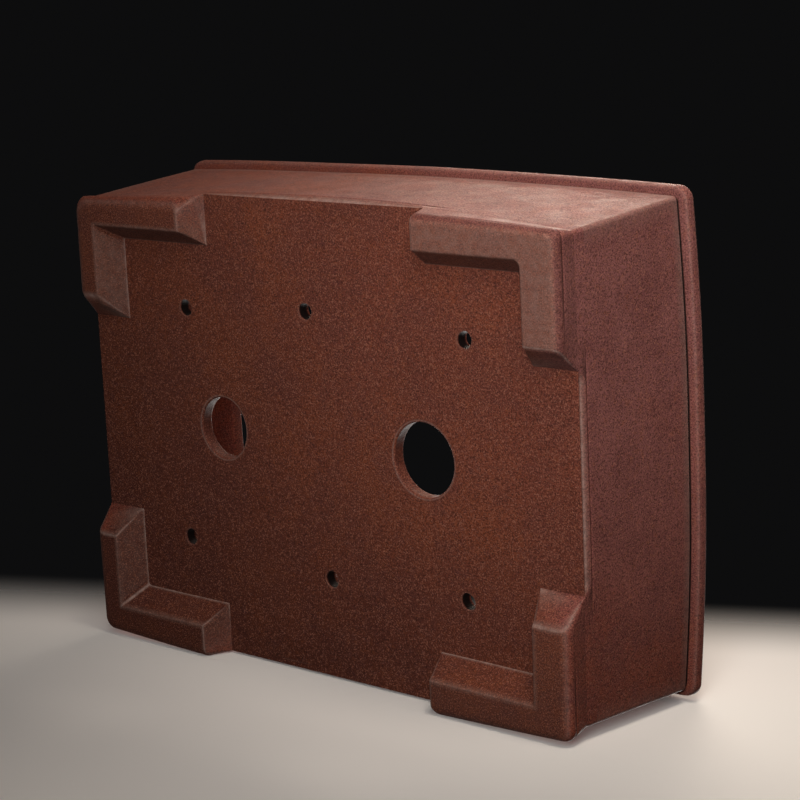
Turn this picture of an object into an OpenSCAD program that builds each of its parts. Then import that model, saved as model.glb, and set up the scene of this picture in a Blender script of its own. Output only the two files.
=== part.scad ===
// Slab-built rectangular stoneware bonsai pot, with a raised lip and four L-shaped feet.
// It stands upright: +Z is up, X runs along its length, Y across its width.
// The origin is the centre of the plane that the feet stand on. Front is -Y, right is +X.

/* [Body] */
// Length of the walls where they meet the floor, corner to corner
base_l = 300; // [280:1:306]
// Width of the walls where they meet the floor, corner to corner
base_w = 219; // [205:1:229]
// Length of the walls under the lip, corner to corner
rim_l = 303; // [300:1:320]
// Width of the walls under the lip, corner to corner
rim_w = 229.5; // [219:0.5:240]
// Height of the top of the walls above the feet
wall_top = 90; // [80:1:110]
// Thickness of the wall slabs
wall_t = 8; // [6:0.5:11]
// Thickness of the floor slab
floor_t = 7; // [5:0.5:10]
// How far the long walls swell outwards at mid length, at the floor and under the lip
long_bow = [6.6, 2.8]; // [0:0.2:8]
// How far the short walls swell outwards at mid width, at the floor and under the lip
short_bow = [0.8, 4.3]; // [0:0.1:6]

/* [Lip] */
// Height of the lip strips, from the walls to the top of the pot
lip_h = 9; // [7:0.5:14]
// How far the lip stands out from the walls
lip_out = 3.7; // [2:0.1:6]
// How far the lip turns in past the walls' inside faces
lip_in = 12; // [0:0.5:14]
// How much the turned-in part of the lip thins towards its inside edge
lip_thin = 1.5; // [0:0.5:4]
// Height of the groove under the lip
groove_h = 2; // [1:0.5:3]
// Depth of the groove under the lip
groove_d = 1.5; // [0.5:0.5:3]
// Radius on the lip's upper outside edge
lip_r = 2.9; // [1:0.1:4]

/* [Feet] */
// Height of the feet
foot_h = 15; // [10:1:20]
// How far the toes stand out from the floor's edge: left, right, front, back
toe_out = [-2.5, 2, 2.7, 4.3]; // [-3:0.1:5]
// How far the toe line of a long arm swells outwards, as if it ran the whole length
toe_bow = 2.4; // [0:0.2:6]
// Distance from the pot's centre to the inner toe line: along X, and along Y
toe_in = [132.7, 98.6]; // [90:0.1:136]
// How much wider the feet are under the floor than at the toe: along X, and along Y
foot_flare = [6.2, 8.7]; // [2:0.1:10]
// Distance from the pot's centre to the ends of the arms: along X, and along Y
arm_end = [72.6, 60.5]; // [40:0.1:90]
// How much longer the arms are under the floor than at the toe: along X, and along Y
arm_flare = [4, 11]; // [2:0.1:14]

/* [Holes] */
// Diameter of the left drain hole
drain_left_d = 30; // [20:1:45]
// Diameter of the right drain hole
drain_right_d = 35; // [20:1:45]
// Distance from the pot's centre to the left drain hole
drain_left_x = 64.5; // [50:0.5:90]
// Distance from the pot's centre to the right drain hole
drain_right_x = 62.5; // [50:0.5:90]
// Diameter of the six wire holes
wire_d = 8; // [5:0.5:10]
// Front left wire hole, from the pot's centre
wire_front_left = [-86, -58]; // [-95:1:-50]
// Front middle wire hole
wire_front_mid = [-6, -62.5]; // [-70:0.5:0]
// Front right wire hole
wire_front_right = [89, -57.5]; // [-60:0.5:95]
// Back left wire hole
wire_back_left = [-92.5, 59]; // [-95:0.5:65]
// Back middle wire hole
wire_back_mid = [2.5, 66]; // [0:0.5:75]
// Back right wire hole
wire_back_right = [85.5, 63]; // [50:0.5:95]

/* [Seam coils] */
// Size of the clay coils pressed into the inside seams
coil = 6; // [3:0.5:10]

/* [Hidden] */

floor_top = foot_h + floor_t;
pot_h = wall_top + lip_h;
lip_bottom = wall_top + groove_h;
lip_edge_r = 1;       // radius on the lip's lower outside edge and its inside edge
long_steps = 20;      // straight pieces in a long side
short_steps = 14;     // straight pieces in a short side
arm_steps = [7, 4];   // straight pieces in a foot's long arm and in its short arm
arc_steps = 5;        // straight pieces in each small round edge
coil_mid = 0.4 * coil; // how far the middle of a coil's face stands off both slabs
overcut = 1;          // how far a drill runs past the slab
wire_holes = [
    wire_front_left, wire_front_mid, wire_front_right,
    wire_back_left, wire_back_mid, wire_back_right
];
clay = "#6e4038";
clay_lip = "#7a4a40";
clay_foot = "#663a31";
clay_floor = "#5e352b";

function lerp(a, b, s) = a + (b - a) * s;

// How far a height is up the walls, 0 at the floor slab's underside and 1 at the wall's top
function rise(z) = (z - foot_h) / (wall_top - foot_h);

// Outer corner of the pot at a height, from its centre
function corner(z) = [lerp(base_l, rim_l, rise(z)) / 2, lerp(base_w, rim_w, rise(z)) / 2];

// A bow's share at a place t along a side, from -1 at one corner to 1 at the other
function swell(t) = 1 - t * t;

// A point a distance d inside the outer face, at height z and place t, on the back side
function long_point(t, d, z) =
    let (c = corner(z), bow = lerp(long_bow[0], long_bow[1], rise(z)))
    [t * (c.x - d), c.y - d + bow * swell(t), z];

// The same on the right side
function short_point(t, d, z) =
    let (c = corner(z), bow = lerp(short_bow[0], short_bow[1], rise(z)))
    [c.x - d + bow * swell(t), t * (c.y - d), z];

// Points of a round edge about a centre, from angle a to angle b
function arc(centre, r, a, b) =
    [for (i = [0 : arc_steps]) centre + r * [cos(lerp(a, b, i / arc_steps)), sin(lerp(a, b, i / arc_steps))]];

// Places along a side, from one corner to the other
function places(steps) = [for (i = [0 : steps]) 2 * i / steps - 1];

// A solid through a row of closed rings that all have the same number of points
module loft(rings) {
    n = len(rings[0]);
    last = (len(rings) - 1) * n;
    start_cap = [[for (i = [0 : n - 1]) i]];
    end_cap = [[for (i = [n - 1 : -1 : 0]) last + i]];
    skin = [
        for (k = [0 : len(rings) - 2], i = [0 : n - 1])
        let (a = k * n + i, b = k * n + (i + 1) % n)
        each [[a, a + n, b], [b, a + n, b + n]]
    ];
    polyhedron(points = [for (ring = rings) each ring], faces = concat(start_cap, skin, end_cap));
}

// A strip along the back side, mitred at both corners, from a section of [inset, height] points
module long_strip(section) {
    loft([for (t = places(long_steps)) [for (p = section) long_point(t, p[0], p[1])]]);
}

// A strip along the right side, mitred at both corners
module short_strip(section) {
    loft([for (t = places(short_steps)) [for (i = [len(section) - 1 : -1 : 0])
        short_point(t, section[i][0], section[i][1])]]);
}

// Section of a wall slab, standing on the floor slab
wall_section = [[0, floor_top], [wall_t, floor_top], [wall_t, wall_top], [0, wall_top]];

// Section of a lip strip: a neck that leaves the groove open, under a band with rounded edges that also turns in
lip_section = concat(
    [[groove_d, wall_top], [wall_t, wall_top], [wall_t + lip_in, wall_top + lip_thin]],
    arc([wall_t + lip_in - lip_edge_r, pot_h - lip_edge_r], lip_edge_r, 0, 90),
    arc([lip_r - lip_out, pot_h - lip_r], lip_r, 90, 180),
    arc([lip_edge_r - lip_out, lip_bottom + lip_edge_r], lip_edge_r, 180, 270),
    [[groove_d, lip_bottom]]
);

// Section of a coil pressed into the seam between a wall and the floor, slightly hollow where it was smoothed
coil_section = [
    [wall_t, floor_top],
    [wall_t + coil, floor_top],
    [wall_t + coil_mid, floor_top + coil_mid],
    [wall_t, floor_top + coil]
];

// The same places without the last corner, where the next side begins
function open_places(steps) = [for (i = [0 : steps - 1]) 2 * i / steps - 1];

// Outline of the floor slab, taken at half its thickness: back, left, front, right
function floor_outline() =
    let (z = foot_h + floor_t / 2)
    concat(
        [for (t = open_places(long_steps)) let (p = long_point(-t, 0, z)) [p.x, p.y]],
        [for (t = open_places(short_steps)) let (p = short_point(-t, 0, z)) [-p.x, p.y]],
        [for (t = open_places(long_steps)) let (p = long_point(-t, 0, z)) [-p.x, -p.y]],
        [for (t = open_places(short_steps)) let (p = short_point(t, 0, z)) [p.x, p.y]]
    );

// A hole drilled through the floor slab
module floor_drill(place, d) {
    translate([place.x, place.y, foot_h - overcut])
        cylinder(h = floor_t + 2 * overcut, d = d, $fn = 64);
}

module floor_slab() {
    color(clay_floor)
    difference() {
        translate([0, 0, foot_h]) linear_extrude(floor_t) polygon(floor_outline());
        floor_drill([-drain_left_x, 0], drain_left_d);
        floor_drill([drain_right_x, 0], drain_right_d);
        for (place = wire_holes) floor_drill(place, wire_d);
    }
}

module wall_back() { color(clay) long_strip(wall_section); }
module wall_front() { mirror([0, 1, 0]) wall_back(); }
module wall_right() { color(clay) short_strip(wall_section); }
module wall_left() { mirror([1, 0, 0]) wall_right(); }

module rim_back() { color(clay_lip) long_strip(lip_section); }
module rim_front() { mirror([0, 1, 0]) rim_back(); }
module rim_right() { color(clay_lip) short_strip(lip_section); }
module rim_left() { mirror([1, 0, 0]) rim_right(); }

// One ring round a foot's arm, from its four corner points
function arm_ring(top_out, toe_out_point, toe_in_point, top_in) = [
    [top_out.x, top_out.y, foot_h],
    [toe_out_point.x, toe_out_point.y, 0],
    [toe_in_point.x, toe_in_point.y, 0],
    [top_in.x, top_in.y, foot_h]
];

// An L-shaped foot under the back right corner, whose outer toe corner is at toe.
// Its inner faces and the ends of its arms slope, and its arms meet in a mitre.
module foot(toe) {
    under = corner(foot_h);
    seat_in = toe_in - foot_flare;
    seat_end = arm_end - arm_flare;
    long_arm = [
        for (i = [0 : arm_steps[0]])
        let (
            s = i / arm_steps[0],
            x_top = lerp(seat_end.x, under.x, s),
            x_toe = lerp(arm_end.x, toe.x, s)
        )
        arm_ring(
            [x_top, under.y + long_bow[0] * swell(x_top / under.x)],
            [x_toe, toe.y + toe_bow * swell(x_toe / toe.x)],
            [lerp(arm_end.x, toe_in.x, s), toe_in.y],
            [lerp(seat_end.x, seat_in.x, s), seat_in.y]
        )
    ];
    short_arm = [
        for (i = [1 : arm_steps[1]])
        let (
            s = i / arm_steps[1],
            y_top = lerp(under.y, seat_end.y, s),
            y_toe = lerp(toe.y, arm_end.y, s)
        )
        arm_ring(
            [under.x + short_bow[0] * swell(y_top / under.y), y_top],
            [toe.x, y_toe],
            [toe_in.x, lerp(toe_in.y, arm_end.y, s)],
            [seat_in.x, lerp(seat_in.y, seat_end.y, s)]
        )
    ];
    color(clay_foot) loft(concat(long_arm, short_arm));
}

toe_left = base_l / 2 + toe_out[0];
toe_right = base_l / 2 + toe_out[1];
toe_front = base_w / 2 + toe_out[2];
toe_back = base_w / 2 + toe_out[3];

module foot_back_right() { foot([toe_right, toe_back]); }
module foot_front_right() { mirror([0, 1, 0]) foot([toe_right, toe_front]); }
module foot_back_left() { mirror([1, 0, 0]) foot([toe_left, toe_back]); }
module foot_front_left() { mirror([1, 0, 0]) mirror([0, 1, 0]) foot([toe_left, toe_front]); }

module coil_floor_back() { color(clay) long_strip(coil_section); }
module coil_floor_front() { mirror([0, 1, 0]) coil_floor_back(); }
module coil_floor_right() { color(clay) short_strip(coil_section); }
module coil_floor_left() { mirror([1, 0, 0]) coil_floor_right(); }

// Plan of an upright seam coil in the back right corner at height z, with the same section
function coil_ring(z) =
    let (
        inner = corner(z) - [wall_t, wall_t],
        leg_end = inner - [coil, coil]
    )
    [
        [inner.x, inner.y, z],
        long_point(leg_end.x / inner.x, wall_t, z),
        [inner.x - coil_mid, inner.y - coil_mid, z],
        short_point(leg_end.y / inner.y, wall_t, z)
    ];

module coil_back_right() { color(clay) loft([coil_ring(floor_top + coil), coil_ring(wall_top)]); }
module coil_front_right() { mirror([0, 1, 0]) coil_back_right(); }
module coil_back_left() { mirror([1, 0, 0]) coil_back_right(); }
module coil_front_left() { mirror([1, 0, 0]) coil_front_right(); }

floor_slab();
wall_front();
wall_back();
wall_left();
wall_right();
rim_front();
rim_back();
rim_left();
rim_right();
foot_front_left();
foot_front_right();
foot_back_left();
foot_back_right();
coil_floor_front();
coil_floor_back();
coil_floor_left();
coil_floor_right();
coil_front_left();
coil_front_right();
coil_back_left();
coil_back_right();
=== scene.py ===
"""A slab-built stoneware bonsai pot, laid on its long back wall so that its underside shows.

Every piece of clay has its own closed mesh in the place of its CAD node. Lengths in the making are in
millimetres, in the frame's axes: X along the pot, Y across it, Z from the feet up to the lip.
"""
import math

import bpy
import numpy as np
from mathutils import Matrix, Vector
from mathutils.geometry import delaunay_2d_cdt


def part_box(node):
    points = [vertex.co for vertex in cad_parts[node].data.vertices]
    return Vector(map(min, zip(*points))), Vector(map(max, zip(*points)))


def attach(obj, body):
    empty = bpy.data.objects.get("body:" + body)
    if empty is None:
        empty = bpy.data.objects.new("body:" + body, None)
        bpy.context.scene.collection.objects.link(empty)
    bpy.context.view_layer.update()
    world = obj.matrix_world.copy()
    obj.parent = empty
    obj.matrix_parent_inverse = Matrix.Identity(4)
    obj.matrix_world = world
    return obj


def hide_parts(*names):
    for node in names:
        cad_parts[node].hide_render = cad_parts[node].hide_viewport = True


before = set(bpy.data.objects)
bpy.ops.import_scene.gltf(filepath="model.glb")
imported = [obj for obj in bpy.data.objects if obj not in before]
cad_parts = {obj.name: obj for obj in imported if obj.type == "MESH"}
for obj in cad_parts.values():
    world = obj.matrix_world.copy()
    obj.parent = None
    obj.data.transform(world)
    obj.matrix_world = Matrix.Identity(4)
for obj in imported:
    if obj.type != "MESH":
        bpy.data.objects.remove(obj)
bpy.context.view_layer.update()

MM = 1000.0


def level_of(node, top):
    """Height in millimetres of a CAD node's top or underside."""
    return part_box(node)[1 if top else 0].z * MM


# ------------------------------------------------------------------ sizes, in millimetres

FLOOR_LOW = level_of("floor_slab", False)
FLOOR_TOP = level_of("floor_slab", True)
WALL_TOP = level_of("wall_back", True)
LIP_TOP = level_of("rim_back", True)

BASE_HALF = (150.0, 109.5)      # corner of the walls at the floor's underside
RIM_HALF = (151.5, 114.75)      # corner of the walls under the lip
LONG_BOW = (6.6, 2.8)           # swell of the long walls, at the floor and under the lip
SHORT_BOW = (0.8, 4.3)          # swell of the short walls
WALL_T = 8.0
WALL_ROUND = 2.2                # radius of the pot's upright corners
COIL = 6.0

LIP_OUT = 3.5                   # how far the lip's band stands out
LIP_IN = 12.0                   # how far the lip turns in past the walls
LIP_THIN = 1.5                  # how much it thins towards its inside edge
LIP_ROUND = 7.0                 # radius of the lip's corners in plan
GROOVE_H = 2.0
GROOVE_D = 1.5

EDGE_R = 4.6                    # round edge along the bottom of the walls and feet
CREASE_DEPTH = 0.4              # tooled line above that round edge
CREASE_HALF = 0.8

TOE_OUT = {"left": -2.5, "right": 2.0, "front": 2.7, "back": 4.3}
TOE_BOW = 2.4
TOE_IN = (132.7, 98.6)          # inner toe line, along X and along Y
FOOT_FLARE = (6.2, 8.7)         # how much wider a foot is under the floor
ARM_END = (72.6, 60.5)
ARM_FLARE = (4.0, 11.0)
TOE_EDGE = 0.9                  # small radius on a foot's inner toe edge
FEET = {
    ("front", "right"): {"inner_round": 4.0, "toe_edge": 4.6, "toe_round": 5.0, "long_end": 1.4, "short_end": 1.8,
                         "corner": 2.5, "edge_wear": 0.15, "toe_dust": 0.66, "slope_dust": 0.0, "end_dust": 0.0, "valley": 0.0, "cut": 1.2, "band": 0.32},
    ("front", "left"): {"inner_round": 1.2, "toe_edge": 6.4, "toe_round": 9.0, "long_end": 1.2, "short_end": 4.4,
                        "corner": 8.0, "edge_wear": 0.6, "toe_dust": 0.05, "slope_dust": 0.60, "end_dust": 0.5, "valley": 0.3, "cut": 0.6, "band": 0.0},
    ("back", "left"): {"inner_round": 1.8, "toe_edge": 5.4, "toe_round": 7.0, "long_end": 1.4, "short_end": 2.2,
                       "corner": 4.0, "edge_wear": 0.3, "toe_dust": 0.0, "slope_dust": 0.35, "end_dust": 0.35, "valley": 1.0, "cut": 0.6, "band": 0.0},
    ("back", "right"): {"inner_round": 1.0, "toe_edge": 5.4, "toe_round": 6.0, "long_end": 1.4, "short_end": 3.0,
                        "corner": 6.0, "edge_wear": 0.5, "toe_dust": 0.10, "slope_dust": 0.0, "end_dust": 0.0, "valley": 0.2, "cut": 1.0, "band": 0.0},
}
# of each foot: the rounds of its inner corner, outer toe edge, outer corner and arms' ends, the round in plan at the
# ends' outer corners, how pale its outer toe edge, its toe, its short slope, its long end and its inner corner are, and
# how deep its tooled line is cut and how much painted shade darkens the round band below that line

DRAINS = ((-64.5, 15.0), (62.5, 17.5))  # place along X and radius
DRAIN_EDGE = 1.0
WIRE_R = 4.0
WIRE_EDGE = 0.3
WIRE_HOLES = ((-86.0, -58.0), (-6.0, -62.5), (89.0, -57.5), (-92.5, 59.0), (2.5, 66.0), (85.5, 63.0))


# ------------------------------------------------------------------ small helpers

def lerp(a, b, s):
    return a + (b - a) * s


def smooth(x, low, high):
    """0 below low, 1 above high, with an S-shaped rise between."""
    t = np.clip((x - low) / (high - low), 0.0, 1.0)
    return t * t * (3.0 - 2.0 * t)


def arc(centre, radius, start, end, steps):
    """Points of a circle's arc, angles in degrees, as rows of two."""
    a = np.radians(np.linspace(start, end, steps + 1))
    return np.stack([centre[0] + radius * np.cos(a), centre[1] + radius * np.sin(a)], 1)


# ------------------------------------------------------------------ the pot's outline

def rise(z):
    """How far a height is up the walls: 0 at the floor's underside, 1 under the lip."""
    return (z - FLOOR_LOW) / (WALL_TOP - FLOOR_LOW)


def round_corner(cx, cy, slope_long, slope_short, radius):
    """Where a round corner's circle sits between two sides that meet at (cx, cy) with these slopes.

    The centre lies on the line that halves the angle, at radius over the sine of half the angle.
    Returns the centre, the length that the round takes off each side and the angles of its two ends.
    """
    half = (np.pi / 2 + slope_long + slope_short) / 2
    towards = np.stack([np.sin(slope_short) - np.cos(slope_long), np.sin(slope_long) - np.cos(slope_short)])
    towards = towards / (2 * np.cos(half)) * radius / np.sin(half)
    return cx + towards[0], cy + towards[1], radius / np.tan(half), np.pi / 2 - slope_long, slope_short


CORNER_SHARE = 0.12  # share of a side's stations that lie on its two half corners


def side_stations(straight, corner):
    """Places along a side from 0 to 1: a half corner at each end and even steps between."""
    c = CORNER_SHARE / 2
    return np.concatenate([
        np.linspace(0, c, corner + 1)[:-1], np.linspace(c, 1 - c, straight + 1), np.linspace(1 - c, 1, corner + 1)[1:]
    ])


def side_point(long, s, inset, z, radius):
    """A point of the pot's outline at height z, a distance inset inside the outer face.

    Along a side it is a parabola: half width plus bow times one minus the square of the place, from
    -1 at one corner to 1 at the other. The last stations at each end run along half of a round corner.
    long picks the back side, from right to left; otherwise the right side, from back to front.
    """
    s, inset, z, radius = np.broadcast_arrays(s, inset, z, radius)
    cx = lerp(BASE_HALF[0], RIM_HALF[0], rise(z)) - inset
    cy = lerp(BASE_HALF[1], RIM_HALF[1], rise(z)) - inset
    bow_long, bow_short = lerp(*LONG_BOW, rise(z)), lerp(*SHORT_BOW, rise(z))
    slope_long, slope_short = np.arctan(2 * bow_long / cx), np.arctan(2 * bow_short / cy)
    ox, oy, leg, at_long, at_short = round_corner(cx, cy, slope_long, slope_short, radius)
    middle = (at_long + at_short) / 2
    place = np.abs(s - 0.5) * 2
    along = np.clip(place / (1 - CORNER_SHARE), 0, 1)
    turn = np.clip((place - 1 + CORNER_SHARE) / CORNER_SHARE, 0, 1)
    angle = lerp(at_long if long else at_short, middle, turn)
    round_x, round_y = ox + radius * np.cos(angle), oy + radius * np.sin(angle)
    if long:
        x = along * (cx - leg * np.cos(slope_long))
        y = cy + bow_long * (1 - (x / cx) ** 2)
    else:
        y = along * (cy - leg * np.cos(slope_short))
        x = cx + bow_short * (1 - (y / cy) ** 2)
    x, y = np.where(turn > 0, round_x, x), np.where(turn > 0, round_y, y)
    sign = np.where(s <= 0.5, 1.0, -1.0)
    return np.stack([x * sign, y, z] if long else [x, y * sign, z], -1)


# ------------------------------------------------------------------ from points to pieces

def uneven(p):
    """The hand's unevenness: slow waves a few tenths of a millimetre high, the same for every piece.

    Each wave is a sine of the place, so pieces that touch still touch. The waves up and down act only
    near the underside of the floor.
    """
    x, y, z = p[..., 0], p[..., 1], p[..., 2]
    push = np.sin(x / 31 + 0.7) * np.sin(y / 23 + 1.9) + 0.6 * np.sin(x / 13 + y / 17 + z / 19 + 0.4)
    pull = np.sin(y / 27 + 2.3) * np.sin(x / 37 + 0.2) + 0.6 * np.sin(y / 14 - x / 19 + z / 15 + 1.1)
    sway = np.sin(x / 21 + 0.3) * np.sin(y / 18 + 0.8) + 0.5 * np.sin(x / 9 - y / 11)
    near_floor = np.exp(-(((z - FLOOR_LOW) / 5.0) ** 2))
    return p + np.stack([0.12 * push, 0.12 * pull, 0.12 * sway * near_floor], -1)


def make_piece(node, points, faces, tone, material):
    """A mesh in place of one CAD node, from its points in millimetres, its faces and its tones.

    Tones go into a colour attribute: red where the clay is an underside, which also carries the underside's painted
    light and shade, green where an edge is worn pale, blue where painted shade darkens a tooled line, the lip's groove,
    a hole or a foot's band.
    """
    points = uneven(points.reshape(-1, 3))
    mesh = bpy.data.meshes.new(node + "_clay")
    mesh.from_pydata((points / MM).tolist(), [], faces)
    mesh.update()
    corners = np.zeros(len(mesh.loops), np.int32)
    mesh.loops.foreach_get("vertex_index", corners)
    starts = np.zeros(len(mesh.polygons), np.int32)
    mesh.polygons.foreach_get("loop_start", starts)
    totals = np.zeros(len(mesh.polygons), np.int32)
    mesh.polygons.foreach_get("loop_total", totals)
    centres = np.zeros(len(mesh.polygons) * 3)
    mesh.polygons.foreach_get("center", centres)
    normals = np.zeros(len(mesh.polygons) * 3)
    mesh.polygons.foreach_get("normal", normals)
    areas = np.zeros(len(mesh.polygons))
    mesh.polygons.foreach_get("area", areas)
    volume = (centres.reshape(-1, 3) * normals.reshape(-1, 3)).sum(1) @ areas
    if volume < 0:
        mesh.flip_normals()
    mesh.shade_smooth()
    mesh.set_sharp_from_angle(angle=math.radians(38))
    for end in mesh.polygons[-2:]:
        end.use_smooth = False
    layer = mesh.color_attributes.new("tone", "FLOAT_COLOR", "POINT")
    rgba = np.ones((len(points), 4), np.float32)
    rgba[:, :3] = np.clip(tone.reshape(-1, 3), 0, 1)
    layer.data.foreach_set("color", rgba.ravel())
    mesh.materials.append(material)
    piece = bpy.data.objects.new(node + "_clay", mesh)
    bpy.context.scene.collection.objects.link(piece)
    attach(piece, "root")
    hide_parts(node)
    return piece


def tube_faces(stations, around):
    """Faces of a tube through closed rings, with a flat cap on each end."""
    k, i = np.meshgrid(np.arange(stations - 1), np.arange(around), indexing="ij")
    a, b = k * around + i, k * around + (i + 1) % around
    quads = np.stack([a, b, b + around, a + around], -1).reshape(-1, 4).tolist()
    last = (stations - 1) * around
    return quads + [list(range(around))[::-1], list(range(last, last + around))]


def strip(long, section, radius, straight=56, corner=8):
    """A section of (inset, height) points carried along one side, from half corner to half corner."""
    s = side_stations(straight, corner)[:, None]
    points = side_point(long, s, section[None, :, 0], section[None, :, 1], radius[None, :])
    return points, s


def placed(points, mirror_x, mirror_y):
    """The same points on the other side of the pot."""
    return points * np.array([-1.0 if mirror_x else 1.0, -1.0 if mirror_y else 1.0, 1.0])


def corner_wear(s, width=0.035):
    """1 on a round corner, falling to 0 a little way along the side."""
    return 1 - smooth(np.minimum(s, 1 - s), CORNER_SHARE / 2 * 0.6, CORNER_SHARE / 2 + width)


SIDES = {"back": (True, False, False), "front": (True, False, True),
         "right": (False, False, False), "left": (False, True, False)}


# ------------------------------------------------------------------ walls

def wall_section():
    """Section of a wall slab, with its top outside edge just broken."""
    outer = np.stack([np.zeros(14), np.linspace(FLOOR_TOP, WALL_TOP - 0.6, 14)], 1)
    top = arc((0.6, WALL_TOP - 0.6), 0.6, 180, 90, 3)[1:]
    across = np.stack([np.linspace(2, WALL_T, 4), np.full(4, WALL_TOP)], 1)
    inner = np.stack([np.full(10, WALL_T), np.linspace(WALL_TOP, FLOOR_TOP, 11)[1:]], 1)
    under = np.stack([np.linspace(WALL_T, 0, 5)[1:-1], np.full(3, FLOOR_TOP)], 1)
    return np.concatenate([outer, top, across, inner, under])


def make_wall(side, material):
    long, mirror_x, mirror_y = SIDES[side]
    section = wall_section()
    radius = np.maximum(WALL_ROUND - section[:, 0], 0.5)
    points, s = strip(long, section, radius)
    tone = np.zeros(points.shape)
    outside = (section[:, 0] < 1.0)[None, :]
    ridge = smooth(section[:, 1], WALL_TOP - 1.6, WALL_TOP - 0.4)[None, :]
    tone[..., 1] = outside * np.maximum(0.8 * ridge, 0.62 * corner_wear(s))
    return make_piece("wall_" + side, placed(points, mirror_x, mirror_y), tube_faces(*points.shape[:2]), tone, material)


# ------------------------------------------------------------------ lip

def lip_section():
    """Section of a lip strip: a neck behind the groove, then a softly domed band with round edges."""
    low, top_r, low_r = WALL_TOP + GROOVE_H, 2.9, 1.1
    neck = np.array([[GROOVE_D + 0.3, WALL_TOP], [GROOVE_D, WALL_TOP + 0.5], [GROOVE_D, low - 0.5], [GROOVE_D - 0.4, low - 0.1]])
    shelf = np.array([[0.2, low], [-1.2, low + 0.05]])
    lower = arc((low_r - LIP_OUT + 0.25, low + low_r + 0.05), low_r, 270, 185, 5)
    dome_z = np.linspace(low + low_r + 0.8, LIP_TOP - top_r - 0.4, 4)
    dome = np.stack([-LIP_OUT + 0.22 * ((dome_z - dome_z.mean()) / 1.6) ** 2, dome_z], 1)
    upper = arc((top_r - LIP_OUT, LIP_TOP - top_r), top_r, 180, 90, 8)
    edge = WALL_T + LIP_IN
    top = np.stack([np.linspace(1, edge - 3, 7), np.full(7, LIP_TOP)], 1)
    inner = arc((edge - 1.6, LIP_TOP - 1.6), 1.6, 90, 0, 5)
    turn = arc((edge - 1.0, WALL_TOP + LIP_THIN + 1.0), 1.0, 0, -80, 4)
    under = np.stack([np.linspace(edge - 3, WALL_T, 5), WALL_TOP + LIP_THIN * np.linspace(1 - 3 / LIP_IN, 0, 5)], 1)
    back = np.array([[WALL_T - 3, WALL_TOP]])
    return np.concatenate([neck, shelf, lower, dome, upper, top, inner, turn, under, back])


def make_lip(side, material):
    long, mirror_x, mirror_y = SIDES[side]
    section = lip_section()
    radius = np.clip(LIP_ROUND - 0.95 * (section[:, 0] + LIP_OUT), 0.6, LIP_ROUND)
    points, s = strip(long, section, radius, corner=12)
    tone = np.zeros(points.shape)
    height = section[:, 1] - WALL_TOP
    low_edge = np.exp(-(((height - GROOVE_H - 0.5) / 0.5) ** 2)) * (section[:, 0] < -LIP_OUT + 1.6)
    top_edge = np.exp(-(((section[:, 1] - LIP_TOP + 1.2) / 1.1) ** 2)) * (section[:, 0] < 0)
    tone[..., 1] = (0.45 * low_edge + 0.3 * top_edge)[None, :] + 0 * s
    # Painted shade in the groove under the lip.
    tone[..., 2] = ((section[:, 0] > GROOVE_D - 0.9) & (section[:, 0] < GROOVE_D + 0.5) & (height < GROOVE_H + 0.1))[None, :]
    return make_piece("rim_" + side, placed(points, mirror_x, mirror_y), tube_faces(*points.shape[:2]), tone, material)


# ------------------------------------------------------------------ floor slab

def crease(z, line):
    """Depth of the tooled line: a rounded dip about a height."""
    return CREASE_DEPTH * np.exp(-(((z - line) / (0.5 * CREASE_HALF)) ** 2))


def under_foot(s, long, start, length):
    """0 between the feet, rising to 1 over a length that starts at a foot's arm end, by the place along a side."""
    half, end = (BASE_HALF[0], ARM_END[0] - ARM_FLARE[0]) if long else (BASE_HALF[1], ARM_END[1] - ARM_FLARE[1])
    place = np.abs(s - 0.5) * 2 / (1 - CORNER_SHARE) * half
    return smooth(place, end - 3.0 + start, end - 3.0 + start + length)


def floor_edge():
    """The floor slab's edge as a closed ring of stations by rows, from its underside up to its top.

    Between the feet the section starts with a quarter circle of radius EDGE_R; over a foot that radius
    shrinks to nothing, so the edge runs straight on into the foot.
    """
    rings, wear = [], []
    for long, mirror_x, mirror_y in ((True, False, False), (False, True, False), (True, True, True), (False, False, True)):
        s = side_stations(96, 8)[:-1, None]
        cover, faded = under_foot(s, long, 0.0, 4.5), under_foot(s, long, 0.0, 20.0)
        r = lerp(EDGE_R, 0.02, cover)
        turn = np.radians(np.linspace(0, 90, 9))[None, :]
        inset = r * (1 - np.sin(turn))
        height = FLOOR_LOW + r * (1 - np.cos(turn))
        line = FLOOR_LOW + EDGE_R + 0.6
        up = np.array([line - 0.45, line - 0.25, line, line + 0.25, line + 0.45, line + 0.8, FLOOR_TOP])[None, :] + 0 * s
        inset = np.concatenate([inset, crease(up, line) * (1 - faded)], 1)
        height = np.concatenate([height, up], 1)
        radius = np.maximum(WALL_ROUND - inset, 0.6)
        rings.append(placed(side_point(long, s, inset, height, radius), mirror_x, mirror_y))
        under = np.concatenate([np.cos(turn) + 0 * s, 0 * up], 1)
        pale = np.concatenate([np.sin(2 * turn) + 0 * s, 0 * up], 1) * (1 - cover)
        # Painted shade in the tooled line above the round edge.
        dark = 0.7 * np.concatenate([0 * inset[:, :9], crease(up, line) / CREASE_DEPTH], 1) * (1 - faded)
        wear.append(np.stack([under, 0.9 * pale, dark], -1))
    return np.concatenate(rings), np.concatenate(wear)


def hole_profile(radius, edge):
    """Wall of a hole from the floor's underside to its top, as (radius, height), with a flat collar at each end."""
    bore = [[radius, FLOOR_LOW + z] for z in (1.2, 2.2, 3.6, 5.2)]
    low = arc((radius + edge, FLOOR_LOW + edge), edge, 270, 180, 6)
    high = arc((radius + edge, FLOOR_TOP - edge), edge, 180, 90, 6)
    collar = radius + edge + np.array([1.2, 0.5])
    below, above = np.stack([collar, [FLOOR_LOW] * 2], 1), np.stack([collar[::-1], [FLOOR_TOP] * 2], 1)
    return np.concatenate([below, low, bore, high, above])


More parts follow.
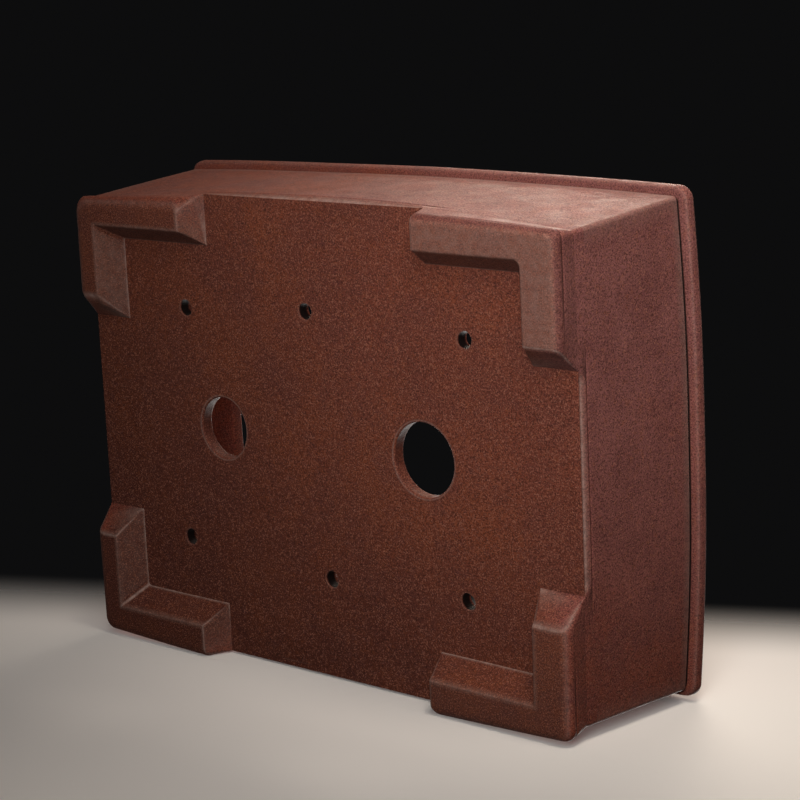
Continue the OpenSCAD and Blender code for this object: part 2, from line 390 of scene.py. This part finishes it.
def hole_tone(wall, profile, worn, dark):
    """Tones of a hole's wall: a thin worn line on its edge, and an inside darkened by painted shade, as dark as asked
    at each step round.
    """
    tone = np.zeros(wall.shape)
    depth = (profile[:, 1] - FLOOR_LOW)[None, :]
    edge = profile[:, 0].min() + 0.9 * (profile[:, 0].max() - profile[:, 0].min() - 1.2)
    tone[..., 0] = 1.0
    tone[..., 1] = worn * np.exp(-(((profile[:, 0] - edge) / 0.35) ** 2))[None, :] * (depth < 1.5)
    # Painted shade deep in the hole's bore.
    tone[..., 2] = dark * smooth(depth, 0.2, 1.4) * (1 - smooth(depth, 5.2, 6.6))
    return tone


def shaded_side(wall):
    """How much painted shade darkens a drain hole's wall at each step round: most at its front left."""
    round_it = wall[:, :1, :2] - wall[:, :1, :2].mean(0, keepdims=True)
    front_left = -(0.5 * round_it[..., 0] + 0.87 * round_it[..., 1]) / np.linalg.norm(round_it, axis=-1)
    return 0.12 + 0.5 * np.clip(front_left, 0, 1)


def hole_wall(centre, profile, steps, ragged, seed):
    """The profile turned about the hole's axis; a ragged hole's radius waves a little as it turns."""
    a = np.linspace(0, 2 * np.pi, steps, endpoint=False)[:, None]
    wave = np.sin(2 * a + seed) + 0.6 * np.sin(3 * a + 2.1 * seed) + 0.5 * np.sin(5 * a + 0.7 * seed)
    r = profile[None, :, 0] + ragged * wave
    return np.stack([centre[0] + r * np.cos(a), centre[1] + r * np.sin(a), profile[None, :, 1] + 0 * a], -1)


def flat_face(outline, holes, inner_step=9.0):
    """Triangles of a flat face with holes in it, and the points inside it.

    outline and the holes are rings of (x, y), numbered one after another in that order. Even rows of points fill the face, so that it can follow the hand's unevenness.
    """
    rings = [outline] + holes
    fixed = np.concatenate(rings)
    xs = np.arange(outline[:, 0].min(), outline[:, 0].max(), inner_step)
    ys = np.arange(outline[:, 1].min(), outline[:, 1].max(), inner_step)
    grid = np.stack(np.meshgrid(xs, ys, indexing="ij"), -1).reshape(-1, 2)
    room = np.abs(grid) < np.abs(outline).max(0) - np.array([11.0, 11.0])
    clear = np.ones(len(grid), bool)
    for ring in holes:
        centre, size = ring.mean(0), np.linalg.norm(ring - ring.mean(0), axis=1).max()
        clear &= np.linalg.norm(grid - centre, axis=1) > size + 2.5
    grid = grid[room.all(1) & clear]
    edges, start = [], 0
    for ring in rings:
        n = len(ring)
        edges += [(start + i, start + (i + 1) % n) for i in range(n)]
        start += n
    every = np.concatenate([fixed, grid])
    out, _, faces, origin, _, _ = delaunay_2d_cdt([Vector(p) for p in every.tolist()], edges, [], 0, 1e-5)
    tri = np.array([[origin[v][0] for v in f] for f in faces])
    middle = every[tri].mean(1)
    keep = np.ones(len(tri), bool)
    for ring in holes:
        centre, size = ring.mean(0), np.linalg.norm(ring - ring.mean(0), axis=1).min()
        keep &= np.linalg.norm(middle - centre, axis=1) > size * 0.97
    return grid, tri[keep]


def make_floor(material):
    edge, edge_tone = floor_edge()
    stations, rows = edge.shape[:2]
    wire = hole_profile(WIRE_R, WIRE_EDGE)
    drains = [hole_profile(radius, DRAIN_EDGE) for _, radius in DRAINS]
    specs = [((x, 0.0), drain, 72, 0.05, 1.0 + x) for (x, _), drain in zip(DRAINS, drains)]
    specs += [(place, wire, 32, 0.14, 1.3 * i) for i, place in enumerate(WIRE_HOLES)]
    walls = [hole_wall(*spec) for spec in specs]
    blocks = [edge] + walls
    starts = np.cumsum([0] + [b.shape[0] * b.shape[1] for b in blocks])
    faces = []
    for block, start in zip(blocks, starts):
        n, m = block.shape[:2]
        k, i = np.meshgrid(np.arange(n), np.arange(m - 1), indexing="ij")
        a, b = start + k * m + i, start + (k + 1) % n * m + i
        quads = np.stack([a, b, b + 1, a + 1], -1).reshape(-1, 4)
        faces += (quads if block is edge else quads[:, ::-1]).tolist()
    points = [b.reshape(-1, 3) for b in blocks]
    tones = [edge_tone.reshape(-1, 3)]
    # Painted shade inside the holes: the drains darkest at their front left, the wire holes dark all round.
    tones += [hole_tone(wall, drain, 0.8, shaded_side(wall)).reshape(-1, 3) for wall, drain in zip(walls, drains)]
    tones += [hole_tone(wall, wire, 0.3, 1.0).reshape(-1, 3) for wall in walls[len(DRAINS):]]
    total = starts[-1]
    for row, height in ((0, FLOOR_LOW), (-1, FLOOR_TOP)):
        number = [start + np.arange(b.shape[0]) * b.shape[1] + row % b.shape[1] for b, start in zip(blocks, starts)]
        rings = [b[:, row, :2] for b in blocks]
        inside, tri = flat_face(rings[0], rings[1:])
        index = np.concatenate(number + [total + np.arange(len(inside))])
        tri = index[tri]
        faces += (tri[:, ::-1] if row == 0 else tri).tolist()
        points.append(np.column_stack([inside, np.full(len(inside), height)]))
        tones.append(np.tile([1.0 if row == 0 else 0.6, 0.0, 0.0], (len(inside), 1)))
        total += len(inside)
    return make_piece("floor_slab", np.concatenate(points), faces, np.concatenate(tones), material)


# ------------------------------------------------------------------ feet

def foot_rows(edge):
    """Section of a foot's arm, from the floor down its outer face, round its toe and up its inner slope.

    Each row is (mix from the outer face to the inner one, inset, height, and the direction sideways and
    upwards in which a rounded arm end draws it in).
    """
    line = edge + 0.5
    rows = [(0, 0, z, 1, 0) for z in (FLOOR_LOW, 12.0, 10.0, 8.2, line + 0.8, line + 0.45, line + 0.25, line, line - 0.25)]
    for a in np.radians(np.linspace(0, 90, 10)):
        rows.append((0, edge * (1 - math.cos(a)), edge * (1 - math.sin(a)), math.cos(a), math.sin(a)))
    rows += [(0.45, 0, 0, 0, 1), (0.7, 0, 0, 0, 1), (0.92, 0, 0, 0, 1)]
    slope = math.atan2(FLOOR_LOW, FOOT_FLARE[1])
    for a in np.linspace(0, slope, 5):
        rows.append((1, -TOE_EDGE * (math.tan(slope / 2) - math.sin(a)), TOE_EDGE * (1 - math.cos(a)), -math.sin(slope), math.cos(a)))
    rows += [(1, 0, z, -math.sin(slope), math.cos(slope)) for z in (3.0, 6.0, 9.0, 12.0, 13.6, 14.4)]
    rows += [(1, 0, FLOOR_LOW, -1, 0), (0.5, 0, FLOOR_LOW, 0, 0)]
    return np.array(rows, float), line


def quarter_circle(into, radius):
    """How far a rounded end draws in, a distance into it: the gap between a quarter circle and its square."""
    left = np.clip(radius - into, 0, radius)
    return radius - np.sqrt(np.maximum(radius ** 2 - left ** 2, 0))


def l_path(rows, line, toe, foot):
    """Rows of a foot carried round its L: along the long arm, round the corner and along the short arm.

    Each row's corner, arm ends, bow and corner radius go straight from their values at the toe to those
    under the floor, and from the outer face to the inner one. Near an arm's end the section shrinks
    along a quarter circle, which rounds the end's edges; the outer face shrinks along a larger one.
    """
    end_n, long_n, corner_n, short_n = 11, 22, 14, 16
    bend = np.radians(np.linspace(90, 0, end_n))
    zero = np.zeros
    middle = zero(long_n + corner_n + short_n)
    wide = max(foot["corner"], foot["long_end"], foot["short_end"])
    reach = wide * (1 - np.sin(bend))
    into = np.concatenate([reach, middle + wide, reach[::-1]])[:, None]
    small = np.concatenate([np.full(end_n + long_n + corner_n, foot["long_end"]), np.full(short_n + end_n, foot["short_end"])])[:, None]
    part = np.concatenate([zero(end_n), zero(long_n), np.ones(corner_n), np.full(short_n + end_n, 2.0)])[:, None]
    share = np.concatenate([zero(end_n), np.linspace(0.16, 1, long_n), np.linspace(0, 1, corner_n + 1)[1:],
                            np.linspace(0, 0.7, short_n + 1)[1:], np.ones(end_n)])[:, None]
    mix, inset, z, side, lift = (rows[None, :, i] for i in range(5))
    toe_level = quarter_circle(into, small)
    small = small * (1 - 0.9 * smooth(z, 0.5, 14.4))
    outside = mix == 0
    large = lerp(foot["corner"], small, np.clip(z / FLOOR_LOW, 0, 1))
    inset = inset + np.where(outside, quarter_circle(into, np.maximum(large - inset, small * side)), side * quarter_circle(into, small))
    lowered = lift * quarter_circle(into, small)
    cut = outside & (lift == 0)
    z = np.clip(z + lowered, toe_level, FLOOR_LOW)
    up = z / FLOOR_LOW
    outer = [lerp(toe[i], BASE_HALF[i], up) for i in (0, 1)]
    inner = [TOE_IN[i] - FOOT_FLARE[i] * up for i in (0, 1)]
    fade = np.where(part == 0, smooth(share, 0.16, 0.35), np.where(part == 2, 1 - smooth(share, 0.45, 0.7), 1.0))
    groove = foot["cut"] * crease(z, line) * cut * fade
    cx, cy = [lerp(outer[i], inner[i], mix) - inset - groove for i in (0, 1)]
    bow_long, bow_short = (1 - mix) * lerp(TOE_BOW, LONG_BOW[0], up), (1 - mix) * lerp(0.0, SHORT_BOW[0], up)
    radius = lerp(lerp(foot["toe_round"], WALL_ROUND, up), foot["inner_round"], mix) - np.where(outside, 0.5 * inset, 0.0)
    radius = np.maximum(radius, 0.6)
    push = np.where(np.isin(part, (0, 2)) & np.isin(share, (0, 1)), into, 0)
    end_x, end_y = ARM_END[0] - ARM_FLARE[0] * up + push, ARM_END[1] - ARM_FLARE[1] * up + push
    slope_long, slope_short = np.arctan(2 * bow_long / cx), np.arctan(2 * bow_short / cy)
    ox, oy, leg, at_long, at_short = round_corner(cx, cy, slope_long, slope_short, radius)
    long_x = lerp(end_x, cx - leg * np.cos(slope_long), share)
    short_y = lerp(cy - leg * np.cos(slope_short), end_y, share)
    angle = lerp(at_long, at_short, share)
    x = np.where(part == 0, long_x, np.where(part == 1, ox + radius * np.cos(angle), cx + bow_short * (1 - (short_y / cy) ** 2)))
    y = np.where(part == 0, cy + bow_long * (1 - (long_x / cx) ** 2), np.where(part == 1, oy + radius * np.sin(angle), short_y))
    tone = np.zeros(x.shape + (3,))
    low = 1 - smooth(z, 0.1, 1.4)
    slope = mix == 1
    tone[..., 0] = np.maximum(mix, 1 - smooth(z, 0.0, 1.6)) + 0 * x
    junction = slope * smooth(z, FLOOR_LOW - 1.2, FLOOR_LOW - 0.3)
    toe_edge = foot["edge_wear"] * np.exp(-(((z - 1.2) / 0.8) ** 2)) * outside
    inner_edge = 0.7 * np.exp(-(((z - 0.2) / 0.4) ** 2)) * slope
    close = np.clip(into / (small + 0.01), 0, 1)
    ends = 0.9 * np.sin(np.pi * close) * (mix != 0.5) * (1 - smooth(z, 11.0, 14.0))
    valley = foot["valley"] * slope * (part == 1) * np.sin(np.pi * np.clip(share, 0, 1))
    dusty_end = foot["end_dust"] * (part == 0) * (into < small + 0.5)
    dust = np.maximum.reduce([foot["toe_dust"] * low + 0 * x, foot["slope_dust"] * slope * (part == 2) + 0 * x, dusty_end + 0 * x])
    tone[..., 1] = np.maximum.reduce([tint + 0 * x for tint in (junction, toe_edge, inner_edge, ends, valley, dust)])
    # Painted shade: the tooled line is darkened by its depth, and the round band below it by the foot's band value.
    band = foot["band"] * outside * smooth(z, 0.2, 1.2) * (1 - smooth(z, line, line + 0.4))
    tone[..., 2] = np.maximum(0.7 * np.minimum(groove / CREASE_DEPTH, 1.0), band) + 0 * x
    points = np.stack([x, y, z + 0 * x], -1)
    toe_rows = np.nonzero((rows[:, 0] > 0) & (rows[:, 0] < 1) & (rows[:, 2] == 0))[0]
    for across, row in zip((0.2, 0.5, 0.85), toe_rows):
        points[:, row] = lerp(points[:, toe_rows[0] - 1], points[:, toe_rows[-1] + 1], across)
    return points, tone


def make_foot(side_y, side_x, material):
    foot = FEET[side_y, side_x]
    toe = (BASE_HALF[0] + TOE_OUT[side_x], BASE_HALF[1] + TOE_OUT[side_y])
    points, tone = l_path(*foot_rows(foot["toe_edge"]), toe, foot)
    name = f"foot_{side_y}_{side_x}"
    return make_piece(name, placed(points, side_x == "left", side_y == "front"), tube_faces(*points.shape[:2]), tone, material)


# ------------------------------------------------------------------ coils in the inside seams

def hollow(leg, steps=6):
    """Face of a pressed coil between two slabs: a shallow arc that bends towards the seam."""
    t = np.linspace(0, 1, steps + 1)
    sag = 0.14 * leg * np.sin(np.pi * t)
    return np.stack([leg * (1 - t) - sag * 0.7, leg * t - sag * 0.7], 1)


def make_floor_coil(side, material):
    long, mirror_x, mirror_y = SIDES[side]
    face = hollow(COIL)
    section = np.concatenate([[[WALL_T, FLOOR_TOP]], face + np.array([WALL_T, FLOOR_TOP])])
    points, s = strip(long, section, np.full(len(section), 0.6), straight=40, corner=3)
    tone = np.zeros(points.shape)
    tone[..., 0] = 0.5
    return make_piece("coil_floor_" + side, placed(points, mirror_x, mirror_y), tube_faces(*points.shape[:2]), tone, material)


def make_corner_coil(side_x, side_y, material):
    """An upright coil: the coil's section laid in the corner of the walls' inside faces at each height."""
    z = np.linspace(FLOOR_TOP + COIL, WALL_TOP, 13)[:, None]
    ix = lerp(BASE_HALF[0], RIM_HALF[0], rise(z)) - WALL_T
    iy = lerp(BASE_HALF[1], RIM_HALF[1], rise(z)) - WALL_T
    face = np.concatenate([[[0.0, 0.0]], hollow(COIL)])
    off_x, off_y = face[None, :, 0], face[None, :, 1]
    on_long, on_short = 2 * lerp(*LONG_BOW, rise(z)) / ix, 2 * lerp(*SHORT_BOW, rise(z)) / iy
    x = ix - off_x + on_short * off_y
    y = iy - off_y + on_long * off_x
    points = np.stack([x, y, z + 0 * x], -1)
    tone = np.zeros(points.shape)
    name = f"coil_{side_y}_{side_x}"
    return make_piece(name, placed(points, side_x == "left", side_y == "front"), tube_faces(*points.shape[:2]), tone, material)


# ------------------------------------------------------------------ clay

class Nodes:
    """Short calls for building a material's node tree."""

    def __init__(self, name):
        self.material = bpy.data.materials.new(name)
        self.material.use_nodes = True
        self.tree = self.material.node_tree
        self.tree.nodes.clear()
        self.place = self.add("ShaderNodeTexCoord").outputs["Object"]

    def add(self, kind, inputs=None, **settings):
        node = self.tree.nodes.new(kind)
        for key, value in settings.items():
            setattr(node, key, value)
        for key, value in (inputs or {}).items():
            self.feed(node.inputs[key], value)
        return node

    def feed(self, socket, value):
        if isinstance(value, bpy.types.NodeSocket):
            self.tree.links.new(value, socket)
        else:
            socket.default_value = value

    def noise(self, scale, detail=4.0, rough=0.55, distortion=0.0):
        node = self.add("ShaderNodeTexNoise", {"Vector": self.place, "Scale": scale, "Detail": detail,
                                               "Roughness": rough, "Distortion": distortion})
        return node.outputs["Fac"]

    def ramp(self, value, low, high, start=0.0, end=1.0):
        node = self.add("ShaderNodeMapRange", {"Value": value, "From Min": low, "From Max": high,
                                               "To Min": start, "To Max": end}, interpolation_type="SMOOTHSTEP")
        return node.outputs["Result"]

    def maths(self, kind, a, b=0.0):
        node = self.add("ShaderNodeMath", {0: a, 1: b}, operation=kind)
        return node.outputs[0]

    def grey(self, value):
        return self.add("ShaderNodeCombineColor", {0: value, 1: value, 2: value}).outputs[0]

    def mix(self, factor, a, b, blend="MIX"):
        node = self.add("ShaderNodeMix", data_type="RGBA", blend_type=blend)
        self.feed(node.inputs[0], factor)
        self.feed(node.inputs[6], a)
        self.feed(node.inputs[7], b)
        return node.outputs[2]


def clay():
    """Unglazed stoneware: purple-brown walls greying toward the lit corner as painted sheen, and a rust-brown underside
    with painted light and shade across it, clouded by the fire, sandy with dark and pale grains, pale and dusty on worn
    edges, and with painted shade in the tooled lines, the lip's groove, the holes and a foot's band."""
    n = Nodes("unglazed_stoneware")
    tone = n.add("ShaderNodeSeparateColor", {"Color": n.add("ShaderNodeVertexColor", layer_name="tone").outputs["Color"]})
    under, worn, dark = tone.outputs[0], tone.outputs[1], tone.outputs[2]
    clouds = n.ramp(n.noise(11.0, 3.0, 0.5, 0.4), 0.36, 0.62)
    patches = n.ramp(n.noise(48.0, 4.0, 0.65), 0.36, 0.66)
    specks = n.noise(330.0, 3.0, 0.7)
    grit = n.noise(1250.0, 2.0, 0.7)
    sand = n.noise(1500.0, 2.0, 0.6)
    # Place along the corner that the lamps light most. Toward it the walls grey from red-brown to purple as painted
    # sheen, made ragged by the clouds.
    toward_lit_corner = n.add("ShaderNodeVectorMath", {0: n.place, 1: (0.8, -0.6, 0.0)}, operation="DOT_PRODUCT").outputs["Value"]
    lit_corner_clouded = n.maths("ADD", toward_lit_corner, n.maths("MULTIPLY", clouds, 0.05))
    walls = n.mix(n.ramp(lit_corner_clouded, 0.02, 0.22), (0.225, 0.050, 0.026, 1), (0.240, 0.090, 0.086, 1))
    rust = n.mix(clouds, (0.192, 0.052, 0.026, 1), (0.156, 0.043, 0.026, 1))
    body = n.mix(under, walls, rust)
    purple = n.mix(under, (0.150, 0.048, 0.046, 1), (0.130, 0.040, 0.030, 1))
    body = n.mix(n.maths("MULTIPLY", patches, 0.6), body, purple)
    # Painted light and shade on the underside: lighter toward the lit corner and darker toward the far side, multiplied
    # into the colour where the clay is an underside.
    shaded = n.add("ShaderNodeVectorMath", {0: n.place, 1: (0.3, 0.95, 0.0)}, operation="DOT_PRODUCT").outputs["Value"]
    light = n.maths("MULTIPLY", n.ramp(toward_lit_corner, -0.14, 0.12, 0.68, 1.18), n.ramp(shaded, 0.03, 0.14, 1.0, 0.8))
    body = n.mix(under, body, n.mix(1.0, body, n.grey(light), "MULTIPLY"))
    body = n.mix(n.ramp(specks, 0.54, 0.70, 0.0, 0.35), body, (0.260, 0.078, 0.030, 1))
    body = n.mix(n.ramp(specks, 0.46, 0.32, 0.0, 0.35), body, (0.085, 0.032, 0.034, 1))
    body = n.mix(n.ramp(grit, 0.43, 0.64, 0.0, 0.75), body, (0.040, 0.012, 0.009, 1))
    body = n.mix(n.ramp(sand, 0.51, 0.70, 0.0, 0.65), body, (0.40, 0.16, 0.11, 1))
    chalk = n.maths("MULTIPLY", worn, n.ramp(n.noise(260.0, 4.0, 0.7), 0.25, 0.75, 0.35, 0.95))
    dust = n.mix(n.ramp(worn, 0.60, 0.95), (0.270, 0.185, 0.160, 1), (0.46, 0.34, 0.30, 1))
    body = n.mix(n.maths("MULTIPLY", chalk, 0.66), body, dust)
    # Near-black painted shade in the tooled lines, the lip's groove, inside the holes and on the right front foot's
    # band.
    painted_shade_colour = n.mix(n.ramp(dark, 0.65, 0.95), (0.050, 0.014, 0.010, 1), (0.008, 0.004, 0.0035, 1))
    body = n.mix(n.ramp(dark, 0.0, 0.8), body, painted_shade_colour)
    rough = n.ramp(n.noise(90.0, 3.0), 0.3, 0.7, 0.56, 0.70)
    height = n.maths("SUBTRACT", n.noise(420.0, 3.0, 0.6), n.maths("MULTIPLY", grit, 0.7))
    bump = n.add("ShaderNodeBump", {"Height": height, "Strength": 0.5, "Distance": 0.0004})
    shader = n.add("ShaderNodeBsdfPrincipled", {"Base Color": body, "Roughness": rough, "Normal": bump.outputs[0]})
    shader.inputs["Specular IOR Level"].default_value = 0.11
    shader.inputs["Sheen Weight"].default_value = 0.015
    shader.inputs["Sheen Roughness"].default_value = 0.5
    output = n.add("ShaderNodeOutputMaterial")
    n.tree.links.new(shader.outputs[0], output.inputs["Surface"])
    return n.material


# ------------------------------------------------------------------ studio

def resting_line():
    """The surface that the pot lies on, across its back: a point on it and its upward direction.

    It touches the widest line of the back lip and the toes of the back feet.
    """
    lip = Vector((0.0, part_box("rim_back")[1].y, (LIP_TOP - 3.5) / MM))
    toe = Vector((0.0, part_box("foot_back_left")[1].y - 0.0006, 0.0035))
    along = (lip - toe).normalized()
    return lip, Vector((0.0, -along.z, along.y))


def floor_material(name, centre, clear_radius, fade_radius, pale, across=(0.0, 0.0, 1.0), far=(8.0, 9.0)):
    """Plain pale paper that is seen from its upper side only and fades out away from the pot.

    It fades with the distance from its centre, and with the distance along the direction across.
    """
    n = Nodes(name)
    away = n.add("ShaderNodeVectorMath", {0: n.place, 1: centre}, operation="DISTANCE").outputs["Value"]
    beyond = n.add("ShaderNodeVectorMath", {0: n.place, 1: across}, operation="DOT_PRODUCT").outputs["Value"]
    fade = n.maths("MAXIMUM", n.ramp(away, clear_radius, fade_radius), n.ramp(beyond, *far))
    back = n.add("ShaderNodeNewGeometry").outputs["Backfacing"]
    gone = n.maths("MAXIMUM", fade, back)
    colour = (pale, 0.99 * pale, 0.98 * pale, 1)
    matt = n.add("ShaderNodeBsdfDiffuse", {"Color": colour})
    glow = n.add("ShaderNodeEmission", {"Color": colour, "Strength": 0.06})
    paper = n.add("ShaderNodeAddShader", {0: matt.outputs[0], 1: glow.outputs[0]})
    clear = n.add("ShaderNodeBsdfTransparent")
    mix = n.add("ShaderNodeMixShader", {0: gone, 1: paper.outputs[0], 2: clear.outputs[0]})
    output = n.add("ShaderNodeOutputMaterial")
    n.tree.links.new(mix.outputs[0], output.inputs["Surface"])
    return n.material


def make_floor_sheet(name, centre, up, size, material):
    """A square floor through a point, facing up. It stops no light, so the pot's own sides stay lit."""
    side = up.orthogonal().normalized()
    other = up.cross(side)
    ring = [centre + size * (a * side + b * other) for a, b in ((-1, -1), (1, -1), (1, 1), (-1, 1))]
    mesh = bpy.data.meshes.new(name)
    mesh.from_pydata([tuple(p) for p in ring], [], [(0, 1, 2, 3)])
    mesh.update()
    if mesh.polygons[0].normal.dot(up) < 0:
        mesh.flip_normals()
    mesh.materials.append(material)
    sheet = bpy.data.objects.new(name, mesh)
    bpy.context.scene.collection.objects.link(sheet)
    sheet.visible_shadow = False
    sheet.visible_diffuse = False
    sheet.visible_glossy = False
    sheet.visible_transmission = False
    return sheet


def make_lamp(name, place, aim, width, height, watts, colour, spread):
    """A soft rectangular lamp at a place, turned to its aim, whose light spreads by an angle in degrees."""
    data = bpy.data.lights.new(name, "AREA")
    data.shape = "RECTANGLE"
    data.size, data.size_y = width, height
    data.energy = watts
    data.color = colour
    data.spread = math.radians(spread)
    lamp = bpy.data.objects.new(name, data)
    lamp.location = place
    lamp.rotation_euler = (Vector(aim) - Vector(place)).to_track_quat("-Z", "Y").to_euler()
    bpy.context.scene.collection.objects.link(lamp)
    return lamp


def make_camera(up):
    """A long lens to the right of the pot's underside and a little above it, level with the surface it lies on."""
    place, aim = Vector((0.6982, -0.2414, -0.7270)), Vector((0.0502, -0.0265, 0.0150))
    back = (place - aim).normalized()
    right = up.cross(back).normalized()
    data = bpy.data.cameras.new("camera")
    data.lens, data.sensor_width = 100.3, 36.0
    data.clip_start, data.clip_end = 0.05, 20.0
    camera = bpy.data.objects.new("camera", data)
    camera.matrix_world = Matrix.Translation(place) @ Matrix((right, back.cross(right), back)).transposed().to_4x4()
    bpy.context.scene.collection.objects.link(camera)
    bpy.context.scene.camera = camera
    return camera


def make_world():
    """A dark plain backdrop, and a soft even light from all round."""
    world = bpy.data.worlds.new("studio")
    bpy.context.scene.world = world
    world.use_nodes = True
    tree = world.node_tree
    tree.nodes.clear()
    seen = tree.nodes.new("ShaderNodeBackground")
    seen.inputs["Color"].default_value = (0.004, 0.004, 0.0042, 1)
    light = tree.nodes.new("ShaderNodeBackground")
    light.inputs["Color"].default_value = (1.0, 0.90, 0.80, 1)
    light.inputs["Strength"].default_value = 0.03
    path = tree.nodes.new("ShaderNodeLightPath")
    mix = tree.nodes.new("ShaderNodeMixShader")
    output = tree.nodes.new("ShaderNodeOutputWorld")
    tree.links.new(path.outputs["Is Camera Ray"], mix.inputs[0])
    tree.links.new(light.outputs[0], mix.inputs[1])
    tree.links.new(seen.outputs[0], mix.inputs[2])
    tree.links.new(mix.outputs[0], output.inputs["Surface"])


WARM = (1.0, 0.96, 0.92)
AMBER = (1.0, 0.86, 0.72)


def make_studio():
    point, up = resting_line()
    make_camera(up)
    make_world()
    pot = Vector((0.0, 0.0, 0.05))
    lying = floor_material("paper_lying", (0.02, point.y, -0.08), 0.40, 0.62, 0.80, (-0.512, 0.0, 0.859), (0.08, 0.19))
    make_floor_sheet("floor_lying", point, up, 1.2, lying)
    standing = floor_material("paper_standing", (0.0, 0.0, 0.0), 0.35, 0.75, 0.46)
    make_floor_sheet("floor_standing", Vector((0.0, 0.0, 0.0)), Vector((0.0, 0.0, 1.0)), 1.2, standing)
    make_lamp("key", (0.55, -0.35, -0.75), (0.14, -0.14, 0.03), 0.32, 0.32, 0.57, WARM, 50)
    make_lamp("above", (0.48, -0.56, -0.40), (0.14, -0.14, 0.03), 0.32, 0.32, 0.16, WARM, 50)
    make_lamp("top", (-0.11, -0.58, 0.50), (0.13, -0.10, 0.05), 0.36, 0.34, 0.58, AMBER, 80)
    make_lamp("side", (0.30, -0.64, -0.02), (0.16, -0.11, 0.06), 0.22, 0.22, 0.23, AMBER, 50)
    make_lamp("behind", (-0.30, -0.32, 0.80), (0.13, -0.11, 0.06), 0.30, 0.30, 0.14, AMBER, 30)
    make_lamp("inside", (-0.075, 0.018, 0.035), (-0.140, 0.018, 0.092), 0.02, 0.04, 0.005, (1.0, 1.0, 1.0), 120).visible_camera = False
    make_lamp("left_high", (-0.85, 0.30, 1.00), pot, 0.6, 0.6, 5.5, WARM, 120)
    make_lamp("back_high", (-0.25, 0.78, 1.08), pot, 0.6, 0.6, 5.0, WARM, 120)
    bpy.context.scene.view_settings.view_transform = "Standard"


# ------------------------------------------------------------------ the pot

def make_pot():
    body = clay()
    make_floor(body)
    for side in SIDES:
        make_wall(side, body)
        make_lip(side, body)
        make_floor_coil(side, body)
    for side_y, side_x in FEET:
        make_foot(side_y, side_x, body)
        make_corner_coil(side_x, side_y, body)


make_pot()
make_studio()
